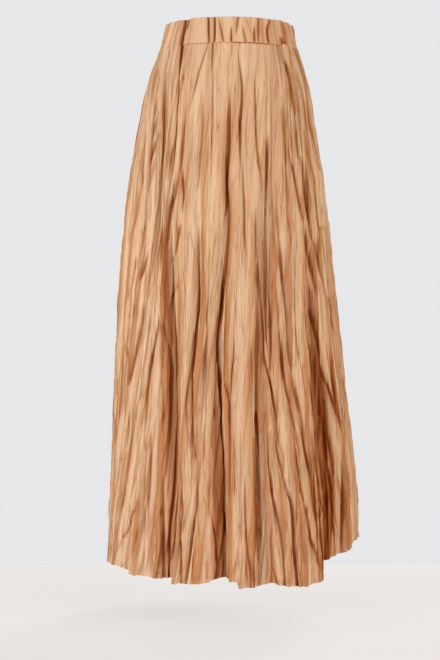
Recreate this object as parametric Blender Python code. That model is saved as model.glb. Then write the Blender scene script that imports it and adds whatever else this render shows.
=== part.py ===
"""A maxi skirt of crinkle-pleated cloth, worn, hanging from a gathered waist.

Metres, +Z up. The wearer faces -Y and +X is on the viewer's right. The origin is the middle of
the waist ring, half way up the waistband. An angle goes round the ring from the centre front,
towards +X: 0 is the front, 90 the viewer's right side, 180 the centre back. A drop is measured
down from the seam between the waistband and the panels.

The cloth is cut as four pieces: a front and a back panel, a front waistband with a plain seam,
and a back waistband, an elastic casing that comes round both sides to the two front folds.
"""

import math

import bmesh
import bpy
import numpy as np
from mathutils import Vector

BAND_HEIGHT = 0.045
BAND_WALL = 0.0028  # two layers of cloth over an elastic
CLOTH_WALL = 0.0015
SEAM_GAP = 0.0003
SKIRT_LENGTH = 0.945  # from the waist seam to the hem, at the centre front

# The outline of the skirt through its ridges, from the waistband's top edge down: a row for
# each level.
SECTION_COLUMNS = ("drop", "half_width", "front_depth", "back_depth", "centre_x")
SECTIONS = (
    (-BAND_HEIGHT, 0.1125, 0.089, 0.087, 0.000),
    (0.000, 0.1236, 0.094, 0.092, -0.001),
    (0.060, 0.1435, 0.104, 0.108, -0.002),
    (0.140, 0.1600, 0.116, 0.127, -0.003),
    (0.240, 0.1755, 0.126, 0.136, -0.004),
    (0.400, 0.1920, 0.142, 0.147, -0.003),
    (0.600, 0.2070, 0.163, 0.165, 0.002),
    (0.800, 0.2220, 0.188, 0.187, 0.009),
    (0.945, 0.2290, 0.205, 0.203, 0.009),
)

# The hem: how far below the seam it hangs round the skirt. The viewer's right side swings up.
HEM_COLUMNS = ("angle", "drop")
HEM = (
    (-90, 0.926),
    (-77, 0.924),
    (-56.2, 0.925),
    (-55.8, 0.932),
    (-39, 0.935),
    (-30.2, 0.932),
    (-29.6, 0.940),
    (-19, 0.940),
    (-12, 0.936),
    (-3, 0.929),
    (1.2, 0.934),
    (1.8, 0.945),
    (10, 0.944),
    (17, 0.936),
    (21, 0.944),
    (35, 0.946),
    (43.5, 0.938),
    (48, 0.910),
    (62, 0.896),
    (75, 0.882),
    (90, 0.877),
    (135, 0.906),
    (180, 0.936),
    (270, 0.926),
)

# The folds of the front, as valleys, from the left side seam to the right one: a row for each,
# with its angle in degrees and its depth in millimetres at each of these drops. Its reaches are
# how wide it is to the left and to the right, counted in pleats: from a fold to the next is one.
# A side seam lies at the bottom of a fold.
FRONT_DROPS = (0.0, 0.15, 0.30, 0.45, 0.60, 0.75, 0.945)
FOLD_COLUMNS = ("name", "angles", "depths", "reaches")
FRONT_FOLDS = (
    ("side_left", (-90, -90, -90, -90, -90, -90, -90), (2, 3, 3, 3, 4, 5, 6), (0.22, 0.22)),
    ("far_left", (-82, -76, -72, -74, -76, -78, -81), (2, 3, 3, 4, 3, 4, 5), (0.22, 0.22)),
    ("hip_left", (-74, -64, -58, -60, -64, -70, -75), (2, 2, 3, 3, 5, 4, 6), (0.34, 0.2)),
    ("outer_left", (-64, -50, -45, -48, -52, -59, -66), (2, 3, 3, 4, 5, 6, 4), (0.34, 0.2)),
    ("inner_left", (-53, -43, -38.5, -38.5, -39, -41, -41), (2, 4, 5, 3, 8, 12, 6), (0.34, 0.22)),
    ("deep_left", (-42, -34, -32, -31, -28, -28, -30), (9, 8, 5, 18, 24, 22, 16), (0.46, 0.16)),
    ("mid_left", (-17, -16, -15.5, -14.5, -18.2, -17.2, -20), (1, 2, 6, 8, 6, 3, 4), (0.34, 0.14)),
    ("near_left", (-11, -9, -9, -10, -13, -14, -13), (2, 3, 2, 4, 4, 1, 1), (0.34, 0.16)),
    ("centre", (2, 0.5, -0.5, -2.9, -4.8, -4.4, -5), (1, 3, 5, 9, 17, 22, 24), (0.62, 0.14)),
    ("near_right", (10, 8, 8, 5, 3, 2, 3), (1, 3, 2, 2, 2, 2, 3), (0.22, 0.22)),
    ("mid_right", (22, 17, 16, 15.5, 12.5, 10.5, 9.7), (1, 3, 3, 7, 16, 18, 13), (0.15, 0.5)),
    ("deep_right", (36, 27, 21.8, 19.6, 19.4, 17, 21.4), (2, 4, 13, 15, 5, 4, 7), (0.2, 0.2)),
    ("outer_right", (46, 38, 32, 28.5, 26, 26, 28), (6, 4, 4, 3, 4, 5, 7), (0.32, 0.2)),
    ("lobe_inner", (51, 45, 39.5, 36, 34, 34, 35.5), (3, 4, 3, 4, 4, 4, 5), (0.22, 0.22)),
    ("lobe_edge", (57, 51.5, 50, 47, 48, 46, 45), (3, 4, 8, 24, 38, 42, 36), (0.14, 0.62)),
    ("swing", (65, 60, 59, 59, 60, 62, 57), (2, 4, 4, 4, 6, 8, 8), (0.2, 0.3)),
    ("hip_right", (74, 70, 68, 69, 70, 72, 68), (2, 2, 5, 6, 4, 7, 8), (0.2, 0.3)),
    ("far_right", (82, 80, 79, 79.5, 80, 81, 79), (2, 3, 3, 4, 4, 5, 6), (0.22, 0.22)),
    ("side_right", (90, 90, 90, 90, 90, 90, 90), (2, 3, 3, 3, 4, 5, 6), (0.22, 0.22)),
)

# The folds of the back, on round from the right side seam to the left one.
BACK_DROPS = (0.0, 0.20, 0.55, 0.945)
BACK_FOLDS = (
    ("back_side_right", (100, 99, 98, 99), (3, 4, 7, 9), (0.22, 0.22)),
    ("back_hip_right", (111, 109, 107, 109), (3, 4, 9, 13), (0.22, 0.22)),
    ("back_outer_right", (122, 119, 117, 120), (3, 5, 9, 9), (0.22, 0.22)),
    ("back_deep_right", (134, 131, 130, 133), (4, 8, 15, 20), (0.4, 0.16)),
    ("back_swell_right", (146, 144, 145, 145), (3, 4, 7, 11), (0.22, 0.22)),
    ("back_near_right", (158, 157, 157, 156), (3, 6, 9, 10), (0.22, 0.22)),
    ("back_centre_right", (169, 169, 170, 168), (4, 5, 12, 18), (0.18, 0.34)),
    ("back_centre", (180, 181, 182, 181), (3, 7, 8, 9), (0.22, 0.22)),
    ("back_centre_left", (191, 192, 194, 195), (3, 4, 11, 15), (0.34, 0.2)),
    ("back_near_left", (203, 204, 206, 207), (4, 6, 17, 22), (0.18, 0.42)),
    ("back_swell_left", (215, 217, 218, 219), (3, 4, 7, 9), (0.22, 0.22)),
    ("back_deep_left", (227, 229, 230, 231), (3, 7, 12, 16), (0.36, 0.18)),
    ("back_outer_left", (239, 241, 242, 242), (3, 4, 8, 10), (0.22, 0.22)),
    ("back_hip_left", (250, 252, 253, 253), (4, 5, 9, 12), (0.22, 0.22)),
    ("back_side_left", (260, 262, 262, 261), (3, 4, 7, 8), (0.22, 0.22)),
)
FOLD_NAMES = [row[0] for row in FRONT_FOLDS + BACK_FOLDS]
FOLDS_IN_RING = len(FOLD_NAMES)
FULL_TURN = 360.0

# How fast a fold's side rises from its valley: between a straight V (1) and a round trough (2).
VALLEY_POWER = 1.7

# The seams, by the fold that each lies in: the side seams of the panels, and the front
# waistband's two ends, where the side's gathers lap over it.
PANEL_SEAMS = ("side_left", "side_right")
BAND_SEAMS = ("deep_left", "outer_right")

# Where the grid has its columns, from one fold's valley (0) to the next one's (1), and its rows,
# as shares of the way from the waist seam to the hem.
PLEAT_COLUMNS = (0.0, 0.14, 0.36, 0.64, 0.86)
ROWS = (0.0, 0.05, 0.12, 0.20, 0.29, 0.38, 0.48, 0.58, 0.68, 0.78, 0.89, 1.0)

CLOTH_COLOUR = (0.60, 0.355, 0.175, 1.0)
BAND_COLOUR = (0.57, 0.335, 0.165, 1.0)
CLOTH_ROUGHNESS = 0.72
MILLIMETRE = 0.001


def clear_scene():
    for thing in list(bpy.data.objects):
        bpy.data.objects.remove(thing, do_unlink=True)


def cloth_material(name, colour):
    material = bpy.data.materials.new(name)
    material.use_nodes = True
    shader = material.node_tree.nodes["Principled BSDF"]
    shader.inputs["Base Color"].default_value = colour
    shader.inputs["Roughness"].default_value = CLOTH_ROUGHNESS
    shader.inputs["Metallic"].default_value = 0.0
    material.diffuse_color = colour
    return material


def section_at(drop):
    """The outline's half width, front depth, back depth and centre at this drop."""
    drops = [row[0] for row in SECTIONS]
    return [float(np.interp(drop, drops, column)) for column in list(zip(*SECTIONS))[1:]]


def hem_drop(angle):
    angles, drops = zip(*HEM)
    return float(np.interp(angle, angles, drops))


def fold_at(number, drop):
    """A fold's angle, depth and reaches at this drop; the numbers go on round the ring."""
    turns, place = divmod(number, FOLDS_IN_RING)
    if place < len(FRONT_FOLDS):
        (_, angles, depths, reaches), drops = FRONT_FOLDS[place], FRONT_DROPS
    else:
        (_, angles, depths, reaches), drops = BACK_FOLDS[place - len(FRONT_FOLDS)], BACK_DROPS
    angle = float(np.interp(drop, drops, angles)) + turns * FULL_TURN
    return angle, MILLIMETRE * float(np.interp(drop, drops, depths)), reaches


def column_angle(pleat, drop):
    """The angle of a column, which lies at this pleat number: a whole number is a valley."""
    before = math.floor(pleat)
    left, right = fold_at(before, drop)[0], fold_at(before + 1, drop)[0]
    return left + (pleat - before) * (right - left)


def column_inward(pleat, drop):
    """How far the folds near a column take it inwards."""
    before = math.floor(pleat)
    inward = 0.0
    for number in range(before - 1, before + 3):
        offset = pleat - number
        _, depth, (left_reach, right_reach) = fold_at(number, drop)
        reach = left_reach if offset < 0 else right_reach
        inward += depth * math.exp(-((abs(offset) / reach) ** VALLEY_POWER))
    return inward


def cloth_point(pleat, drop, height):
    """The cloth's point on a column, moved in by its folds square to the outline."""
    half_width, front_depth, back_depth, centre_x = section_at(drop)
    turn = math.radians(column_angle(pleat, drop))
    depth = front_depth if math.cos(turn) > 0 else back_depth
    outward = Vector((depth * math.sin(turn), -half_width * math.cos(turn), 0)).normalized()
    on_outline = Vector((centre_x + half_width * math.sin(turn), -depth * math.cos(turn), height))
    return on_outline - outward * column_inward(pleat, drop)


def pleats_between(first_fold, last_fold):
    """The columns' pleat numbers from the valley of one fold on to the valley of another."""
    first, last = FOLD_NAMES.index(first_fold), FOLD_NAMES.index(last_fold)
    if last < first:
        last += FOLDS_IN_RING
    return [number + share for number in range(first, last) for share in PLEAT_COLUMNS] + [last]


def wall_from_grid(name, grid, wall, material):
    """A closed wall: the grid of points is its outer face, and Solidify thickens it inwards."""
    mesh = bpy.data.meshes.new(name)
    shape = bmesh.new()
    rows = [[shape.verts.new(point) for point in row] for row in grid]
    for upper, lower in zip(rows, rows[1:]):
        for i in range(len(upper) - 1):
            shape.faces.new((upper[i], lower[i], lower[i + 1], upper[i + 1]))
    bmesh.ops.triangulate(shape, faces=shape.faces[:], quad_method="SHORT_EDGE")
    shape.to_mesh(mesh)
    shape.free()
    mesh.shade_smooth()
    mesh.materials.append(material)
    piece = bpy.data.objects.new(name, mesh)
    bpy.context.scene.collection.objects.link(piece)
    thicken = piece.modifiers.new("Wall", "SOLIDIFY")
    thicken.thickness = wall
    thicken.offset = -1.0
    return piece


def pulled_apart(row):
    """The row with its first and last point moved half a seam's gap towards the next fold."""
    one_pleat = len(PLEAT_COLUMNS)
    first = row[0] + (row[one_pleat] - row[0]).normalized() * SEAM_GAP / 2
    last = row[-1] + (row[-1 - one_pleat] - row[-1]).normalized() * SEAM_GAP / 2
    return [first] + row[1:-1] + [last]


def make_panel(name, pleats, material):
    """A skirt panel, from the waist seam to the hem and from side seam to side seam."""
    top = -BAND_HEIGHT / 2 - SEAM_GAP
    grid = []
    for share_down in ROWS:
        row = []
        for pleat in pleats:
            drop = share_down * hem_drop(column_angle(pleat, SKIRT_LENGTH))
            row.append(cloth_point(pleat, drop, top - drop))
        grid.append(pulled_apart(row))
    return wall_from_grid(name, grid, CLOTH_WALL, material)


def make_band(name, pleats, material):
    """A waistband, from its top edge to the seam, with the folds that the panels have there."""
    grid = []
    for drop in (-BAND_HEIGHT, 0.0):
        row = [cloth_point(pleat, drop, -BAND_HEIGHT / 2 - drop) for pleat in pleats]
        grid.append(pulled_apart(row))
    return wall_from_grid(name, grid, BAND_WALL, material)


def build_skirt():
    clear_scene()
    cloth = cloth_material("crinkle_cloth", CLOTH_COLOUR)
    casing = cloth_material("waist_casing", BAND_COLOUR)

    make_panel("skirt_front", pleats_between(*PANEL_SEAMS), cloth)
    make_panel("skirt_back", pleats_between(*reversed(PANEL_SEAMS)), cloth)
    make_band("waistband_front", pleats_between(*BAND_SEAMS), casing)
    make_band("waistband_back", pleats_between(*reversed(BAND_SEAMS)), casing)


build_skirt()
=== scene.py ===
# %% [markdown]
# A maxi skirt of crinkle-pleated cloth. The real one is four cut pieces: a front and a back panel
# whose cloth was twisted and heat-set into fine upright creases, a plain front waistband, and an
# elastic casing round the sides and the back. It is worn, so the cloth hangs as a hollow cone.

# %% Load the fixed frame
import math

import bpy
import numpy as np
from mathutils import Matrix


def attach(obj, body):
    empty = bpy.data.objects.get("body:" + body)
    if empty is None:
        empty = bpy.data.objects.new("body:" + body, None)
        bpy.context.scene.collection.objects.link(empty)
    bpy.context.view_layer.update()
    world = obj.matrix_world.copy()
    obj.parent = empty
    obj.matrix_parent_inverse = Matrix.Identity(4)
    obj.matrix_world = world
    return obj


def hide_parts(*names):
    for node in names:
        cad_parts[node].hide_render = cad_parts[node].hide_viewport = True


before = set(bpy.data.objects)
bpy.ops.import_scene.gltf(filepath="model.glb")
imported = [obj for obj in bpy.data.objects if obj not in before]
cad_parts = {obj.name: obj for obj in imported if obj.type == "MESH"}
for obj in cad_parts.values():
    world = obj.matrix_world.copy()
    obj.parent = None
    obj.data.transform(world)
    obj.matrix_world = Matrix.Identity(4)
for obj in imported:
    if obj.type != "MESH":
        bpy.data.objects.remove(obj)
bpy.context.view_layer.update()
print("nodes in the frame:", sorted(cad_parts))

# %% [markdown]
# The photo was taken from the front, from about three metres away and half way up the skirt, with
# a long lens. A level camera at that place, with a lens that shows the skirt at the photo's size,
# gives the same outline, because how much the waist and hem curve depends on where the eye is.

# %% Camera
CAMERA_AWAY = 3.0
CAMERA_ACROSS = -0.0155
CAMERA_HEIGHT = -0.529
LENS_MM = 90.0

bpy.ops.object.camera_add(
    location=(CAMERA_ACROSS, -CAMERA_AWAY, CAMERA_HEIGHT), rotation=(math.radians(90), 0, 0)
)
camera = bpy.context.object
camera.name = "photo_camera"
camera.data.lens = LENS_MM
bpy.context.scene.camera = camera
bpy.context.scene.view_settings.view_transform = "Standard"
print("lens:", camera.data.lens, "mm")

# %% [markdown]
# Every finish here is a material made of nodes. Adding a node takes several lines by hand: the
# node, its settings, its links. These helpers do it in one line, with the inputs by name, and
# the value that goes in may be a number, a colour or another node's output.

# %% Helpers for materials
def feed(tree, value, socket):
    """Give a node's input this value: another node's output, a number or a colour."""
    if hasattr(value, "is_output"):
        tree.links.new(value, socket)
    else:
        socket.default_value = value


def node_of(tree, kind, **settings):
    """A new node. Each setting is a property of the node, or else its input of that name."""
    node = tree.nodes.new(kind)
    for name, value in settings.items():
        if hasattr(node, name):
            setattr(node, name, value)
        else:
            feed(tree, value, node.inputs[name.replace("_", " ")])
    return node


def maths(tree, operation, *values, kind="ShaderNodeMath"):
    """The result of a Math node; each value is another node's output or a number."""
    node = node_of(tree, kind, operation=operation)
    for value, socket in zip(values, node.inputs):
        feed(tree, value, socket)
    return node.outputs[0]


def principled(name, colour, roughness):
    """A new material with one Principled shader, its node tree and that shader."""
    material = bpy.data.materials.new(name)
    material.use_nodes = True
    shader = material.node_tree.nodes["Principled BSDF"]
    shader.inputs["Base Color"].default_value = colour
    shader.inputs["Roughness"].default_value = roughness
    return material, material.node_tree, shader


# %% [markdown]
# The floor is pale and lies a hand below the hem. It could be lit by the lamps alone, but then it
# would fall off to grey behind the skirt, so most of its brightness is its own glow and only a
# small part is lamplight, which leaves a soft shadow. Past the line where the wall would stand
# it glows like the surroundings.

# %% Floor and surroundings
FLOOR_HEIGHT = -1.035
FLOOR_SIZE = 14.0
FLOOR_ROUGHNESS = 0.9
WALL_LINE = 0.56
FLOOR_LIT = (0.16, 0.158, 0.155, 1.0)
FLOOR_GLOW = (0.66, 0.65, 0.64, 1.0)
SURROUND_GLOW = (0.79, 0.80, 0.81, 1.0)
UNLIT = (0.0, 0.0, 0.0, 1.0)


def floor_material():
    """The floor: part lit and part glowing in front of the wall's line, and only glowing past it."""
    material, tree, shader = principled("pale_floor", FLOOR_LIT, FLOOR_ROUGHNESS)
    place = node_of(tree, "ShaderNodeTexCoord").outputs["Object"]
    parts = node_of(tree, "ShaderNodeSeparateXYZ", Vector=place)
    behind = maths(tree, "GREATER_THAN", parts.outputs["Y"], WALL_LINE)
    for socket, near, far in (
        ("Base Color", FLOOR_LIT, UNLIT),
        ("Emission Color", FLOOR_GLOW, SURROUND_GLOW),
    ):
        mix = node_of(tree, "ShaderNodeMix", data_type="RGBA", Factor=behind, A=near, B=far)
        feed(tree, mix.outputs["Result"], shader.inputs[socket])
    shader.inputs["Emission Strength"].default_value = 1.0
    shader.inputs["Specular IOR Level"].default_value = 0.0
    return material


bpy.ops.object.select_all(action="DESELECT")
bpy.ops.mesh.primitive_plane_add(size=FLOOR_SIZE, location=(0, 0, FLOOR_HEIGHT))
floor = bpy.context.object
floor.name = "floor"
floor.data.materials.append(floor_material())

world = bpy.data.worlds.new("studio")
bpy.context.scene.world = world
world.use_nodes = True
world.node_tree.nodes["Background"].inputs["Color"].default_value = SURROUND_GLOW
world.cycles_visibility.diffuse = False
world.cycles_visibility.glossy = False
floor.visible_diffuse = False
print("floor at", FLOOR_HEIGHT, "m")

# %% [markdown]
# The light is a soft studio of eight lamps. The key lamp, left of the camera, shades every crease
# on its right. The fill and the front lamp are warm and keep the shade open, as light thrown back
# by tan cloth does. A lamp on each side lights the skirt's edges, one hangs above it, and two
# stand behind it for the views from there.

# %% Lamps
# Columns: name, place, aim, size, watts, colour.
LAMPS = (
    ("key", (-2.3, -2.75, 0.0), (0.0, 0.0, -0.58), 0.9, 74.0, (0.98, 1.0, 1.03)),
    ("fill", (1.5, -3.2, -0.3), (0.0, 0.0, -0.60), 2.4, 42.0, (1.0, 0.78, 0.58)),
    ("front", (-0.3, -3.3, -0.7), (0.0, 0.0, -0.55), 1.4, 24.0, (1.0, 0.57, 0.34)),
    ("right", (3.0, -1.6, 0.0), (0.0, 0.0, -0.62), 1.2, 84.0, (1.0, 0.94, 0.85)),
    ("side", (-3.2, -1.0, -0.4), (0.0, 0.0, -0.60), 1.2, 70.0, (1.0, 0.90, 0.76)),
    ("top", (0.0, -0.8, 2.6), (0.0, 0.0, -0.5), 2.6, 16.0, (1.0, 0.9, 0.8)),
    ("back", (1.4, 3.0, 0.6), (0.0, 0.0, -0.5), 1.2, 130.0, (1.0, 0.96, 0.90)),
    ("back_fill", (-1.8, 3.2, -0.2), (0.0, 0.0, -0.55), 2.4, 70.0, (1.0, 0.74, 0.54)),
)

for name, place, aim, size, watts, colour in LAMPS:
    bpy.ops.object.light_add(type="AREA", location=place)
    lamp = bpy.context.object
    lamp.name = name
    lamp.data.size = size
    lamp.data.energy = watts
    lamp.data.color = colour
    lamp.visible_camera = False
    towards = [a - b for a, b in zip(aim, place)]
    across = math.hypot(towards[0], towards[1])
    lamp.rotation_euler = (math.atan2(across, -towards[2]), 0, math.atan2(-towards[0], towards[1]))
print("lamps:", [row[0] for row in LAMPS])

# %% [markdown]
# The form is the frame's own: an oval at each level, and folds that run down it. These are the
# sizes that the frame was built from. An angle goes round the skirt from the centre front, and a
# drop is how far a point lies below the seam under the waistband.

# %% Sizes of the form
CM = 0.01
MM = 0.001
BAND_HEIGHT = 0.045
# Columns: drop, half width, depth in front, depth behind, centre's x.
SECTIONS = np.array(
    (
        (-BAND_HEIGHT, 0.1125, 0.089, 0.087, 0.000),
        (0.000, 0.1236, 0.094, 0.092, -0.001),
        (0.060, 0.1435, 0.104, 0.108, -0.002),
        (0.140, 0.1600, 0.116, 0.127, -0.003),
        (0.240, 0.1755, 0.126, 0.136, -0.004),
        (0.400, 0.1920, 0.142, 0.147, -0.003),
        (0.600, 0.2070, 0.163, 0.165, 0.002),
        (0.800, 0.2220, 0.188, 0.187, 0.009),
        (0.945, 0.2290, 0.205, 0.203, 0.009),
    )
)
# Columns: angle, drop.
HEM = np.array(
    (
        (-90, 0.926),
        (-77, 0.924),
        (-56.2, 0.925),
        (-55.8, 0.932),
        (-39, 0.935),
        (-30.2, 0.932),
        (-29.6, 0.940),
        (-19, 0.940),
        (-12, 0.936),
        (-7.6, 0.931),
        (-3, 0.928),
        (-2.4, 0.933),
        (1.2, 0.934),
        (1.8, 0.945),
        (10, 0.944),
        (16, 0.936),
        (18, 0.936),
        (21, 0.944),
        (35, 0.946),
        (43.5, 0.938),
        (48, 0.910),
        (62, 0.896),
        (75, 0.882),
        (90, 0.877),
        (135, 0.906),
        (180, 0.936),
        (270, 0.926),
    )
)

# %% [markdown]
# Each large fold is a row: the angle of its valley and its depth in millimetres at a few drops.
# Its two reaches say how wide it is to the left and to the right, in pleats: a soft slope on one
# side and a steep one on the other. Its lean says how far the ridge beside it rolls over the
# valley, to the right where positive, which turns a soft trough into a dark slit.

# %% Large folds
FRONT_DROPS = (0.0, 0.15, 0.30, 0.45, 0.60, 0.75, 0.945)
BACK_DROPS = (0.0, 0.20, 0.55, 0.945)
# Columns: name, angles, depths, reaches, lean.
FRONT_FOLDS = (
    ("side_left", (-90, -90, -90, -90, -90, -90, -90), (2, 3, 3, 3, 4, 5, 6), (0.22, 0.22), 0),
    ("far_left", (-82, -76, -72, -74, -76, -78, -81), (2, 3, 3, 4, 3, 4, 5), (0.22, 0.22), 0),
    ("hip_left", (-74, -64, -58, -60, -64, -70, -75), (2, 2, 3, 3, 5, 4, 6), (0.34, 0.2), 0),
    ("outer_left", (-64, -50, -45, -48, -52, -59, -66), (2, 3, 3, 4, 5, 6, 4), (0.34, 0.2), 0),
    ("inner_left", (-53, -43, -38.5, -38.5, -39, -41, -41), (2, 4, 5, 3, 8, 12, 6), (0.34, 0.22), 1),
    ("deep_left", (-42, -34, -32, -31, -28, -28, -30), (9, 8, 5, 18, 24, 22, 16), (0.46, 0.16), 3),
    ("mid_left", (-17, -16, -15.5, -14.5, -18.2, -17.2, -20), (1, 2, 6, 8, 6, 3, 4), (0.34, 0.14), 0),
    ("near_left", (-11, -9, -9, -10, -13, -14, -13), (2, 3, 2, 4, 4, 1, 1), (0.34, 0.16), 0),
    ("centre", (2, 0.5, -0.5, -2.9, -4.8, -4.4, -5), (1, 3, 5, 9, 17, 22, 24), (0.62, 0.14), 3),
    ("near_right", (10, 8, 8, 5, 3, 2, 3), (1, 3, 2, 2, 2, 2, 3), (0.22, 0.22), 0),
    ("mid_right", (22, 17, 16, 15.5, 12.5, 10.5, 9.7), (1, 3, 3, 7, 16, 18, 13), (0.15, 0.5), 4),
    ("deep_right", (36, 27, 21.8, 19.6, 19.4, 17, 21.4), (2, 4, 13, 15, 5, 4, 7), (0.2, 0.2), 0),
    ("outer_right", (46, 38, 32, 28.5, 26, 26, 28), (6, 4, 4, 3, 4, 5, 7), (0.32, 0.2), 1),
    ("lobe_inner", (51, 45, 39.5, 36, 34, 34, 35.5), (3, 4, 3, 4, 4, 4, 5), (0.22, 0.22), 0),
    ("lobe_edge", (57, 51.5, 50, 47, 48, 46, 45), (3, 4, 8, 24, 38, 42, 36), (0.14, 0.62), 6),
    ("swing", (65, 60, 59, 59, 60, 62, 57), (2, 4, 4, 4, 6, 8, 8), (0.2, 0.3), 1),
    ("hip_right", (74, 70, 68, 69, 70, 72, 68), (2, 2, 5, 6, 4, 7, 8), (0.2, 0.3), 1),
    ("far_right", (82, 80, 79, 79.5, 80, 81, 79), (2, 3, 3, 4, 4, 5, 6), (0.22, 0.22), 0),
    ("side_right", (90, 90, 90, 90, 90, 90, 90), (2, 3, 3, 3, 4, 5, 6), (0.22, 0.22), 0),
)
BACK_FOLDS = (
    ("back_side_right", (100, 99, 98, 99), (3, 4, 7, 9), (0.22, 0.22), 0),
    ("back_hip_right", (111, 109, 107, 109), (3, 4, 9, 13), (0.22, 0.22), 1),
    ("back_outer_right", (122, 119, 117, 120), (3, 5, 9, 9), (0.22, 0.22), 0),
    ("back_deep_right", (134, 131, 130, 133), (4, 8, 15, 20), (0.4, 0.16), 3),
    ("back_swell_right", (146, 144, 145, 145), (3, 4, 7, 11), (0.22, 0.22), 0),
    ("back_near_right", (158, 157, 157, 156), (3, 6, 9, 10), (0.22, 0.22), 1),
    ("back_centre_right", (169, 169, 170, 168), (4, 5, 12, 18), (0.18, 0.34), -2),
    ("back_centre", (180, 181, 182, 181), (3, 7, 8, 9), (0.22, 0.22), 0),
    ("back_centre_left", (191, 192, 194, 195), (3, 4, 11, 15), (0.34, 0.2), 2),
    ("back_near_left", (203, 204, 206, 207), (4, 6, 17, 22), (0.18, 0.42), -3),
    ("back_swell_left", (215, 217, 218, 219), (3, 4, 7, 9), (0.22, 0.22), 0),
    ("back_deep_left", (227, 229, 230, 231), (3, 7, 12, 16), (0.36, 0.18), 2),
    ("back_outer_left", (239, 241, 242, 242), (3, 4, 8, 10), (0.22, 0.22), 0),
    ("back_hip_left", (250, 252, 253, 253), (4, 5, 9, 12), (0.22, 0.22), -1),
    ("back_side_left", (260, 262, 262, 261), (3, 4, 7, 8), (0.22, 0.22), 0),
)
FOLD_NAMES = [row[0] for row in FRONT_FOLDS + BACK_FOLDS]
RING = len(FOLD_NAMES)
FULL_TURN = 360.0


def smooth(x, xs, ys):
    """ys at x along a smooth curve through the points, whose slope at each comes from both sides."""
    xs, ys = np.asarray(xs, float), np.asarray(ys, float)
    slopes = np.gradient(ys, xs)
    x = np.clip(x, xs[0], xs[-1])
    i = np.clip(np.searchsorted(xs, x) - 1, 0, len(xs) - 2)
    step = xs[i + 1] - xs[i]
    t = (x - xs[i]) / step
    rise = ys[i + 1] - ys[i]
    start, end = slopes[i] * step, slopes[i + 1] * step
    return ys[i] + t * start + t * t * (3 * rise - 2 * start - end) + t**3 * (start + end - 2 * rise)


def fold_at(number, drop):
    """A fold's angle, depth, reaches and lean at these drops, for any whole number."""
    turns, place = divmod(number, RING)
    if place < len(FRONT_FOLDS):
        (_, angles, depths, reaches, lean), drops = FRONT_FOLDS[place], FRONT_DROPS
    else:
        (_, angles, depths, reaches, lean), drops = BACK_FOLDS[place - len(FRONT_FOLDS)], BACK_DROPS
    depth = smooth(drop, drops, depths) * MM
    share = depth / (max(depths) * MM)
    return smooth(drop, drops, angles) + turns * FULL_TURN, depth, reaches, lean * MM * share


print("large folds round the skirt:", RING)

# %% [markdown]
# A point of the cloth is named by its pleat number and its drop. The pleat number is 0 at the
# first fold's valley, 1 at the next one's, and a half on the ridge between them, so a column of
# points runs down along the folds as the real creases do.

# %% From pleat numbers to places
VALLEY_POWER = 1.7
LEAN_CENTRE = -0.2
LEAN_REACH = 0.16
FOLD_SPAN = 2


def angle_grid(pleats, drops):
    """The angle of each point of a grid: pleats holds a number for each column."""
    angles = np.empty_like(drops)
    for number in range(int(np.floor(pleats.min())), int(np.ceil(pleats.max()))):
        here = (pleats >= number) & (pleats <= number + 1)
        left = fold_at(number, drops[:, here])[0]
        right = fold_at(number + 1, drops[:, here])[0]
        share = (pleats[here] - number)[None, :]
        angles[:, here] = left + share * (right - left)
    return angles


def outline(angles, drops):
    """Points on the oval outline, and the level directions out of it and along it."""
    levels, *measures = SECTIONS.T
    half_width, front, back, centre = (smooth(drops, levels, measure) for measure in measures)
    turn = np.radians(angles)
    depth = np.where(np.cos(turn) > 0, front, back)
    x = centre + half_width * np.sin(turn)
    y = -depth * np.cos(turn)
    out = np.stack([depth * np.sin(turn), -half_width * np.cos(turn), np.zeros_like(x)], axis=-1)
    out /= np.linalg.norm(out, axis=-1, keepdims=True)
    along = np.stack([-out[..., 1], out[..., 0], np.zeros_like(x)], axis=-1)
    height = -BAND_HEIGHT / 2 - drops
    return np.stack([x, y, height], axis=-1), out, along


def folded_form(pleats, drops):
    """The form with its large folds: a grid of points."""
    points, out, along = outline(angle_grid(pleats, drops), drops)
    inward = np.zeros_like(drops)
    sideways = np.zeros_like(drops)
    first = int(np.floor(pleats.min())) - FOLD_SPAN
    last = int(np.ceil(pleats.max())) + FOLD_SPAN
    for number in range(first, last + 1):
        near = np.abs(pleats - number) < FOLD_SPAN
        if not near.any():
            continue
        offset = (pleats[near] - number)[None, :]
        _, depth, reaches, lean = fold_at(number, drops[:, near])
        reach = np.where(offset < 0, *reaches)
        inward[:, near] += depth * np.exp(-((np.abs(offset) / reach) ** VALLEY_POWER))
        side = np.sign(lean) + (lean == 0)
        roll = np.exp(-(((offset - side * LEAN_CENTRE) / LEAN_REACH) ** 2))
        sideways[:, near] += lean * roll
    return points - out * inward[..., None] + along * sideways[..., None]


TINY = 1e-12


def normals_of(points):
    """The outward direction at each point of a grid whose drops grow along its first axis."""
    down = np.gradient(points, axis=0)
    across = np.gradient(points, axis=1)
    normal = np.cross(down, across)
    return normal / (np.linalg.norm(normal, axis=-1, keepdims=True) + TINY)


# %% [markdown]
# The heat-set crinkle is not a wave: it is hundreds of long thin ridges, pointed at both ends,
# that run almost straight down and meet in sharp valleys. Each is a kite-shaped ridge with flat
# facets, of its own length, width, height and slant, steeper on one side, and where such leaves
# overlap the higher one shows. Three sizes of leaf are scattered by a seeded rule and added up,
# as large pleats carry smaller ones and those carry fine lines. Towards the hem they slant more,
# because there the cloth is free to swing.

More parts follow.
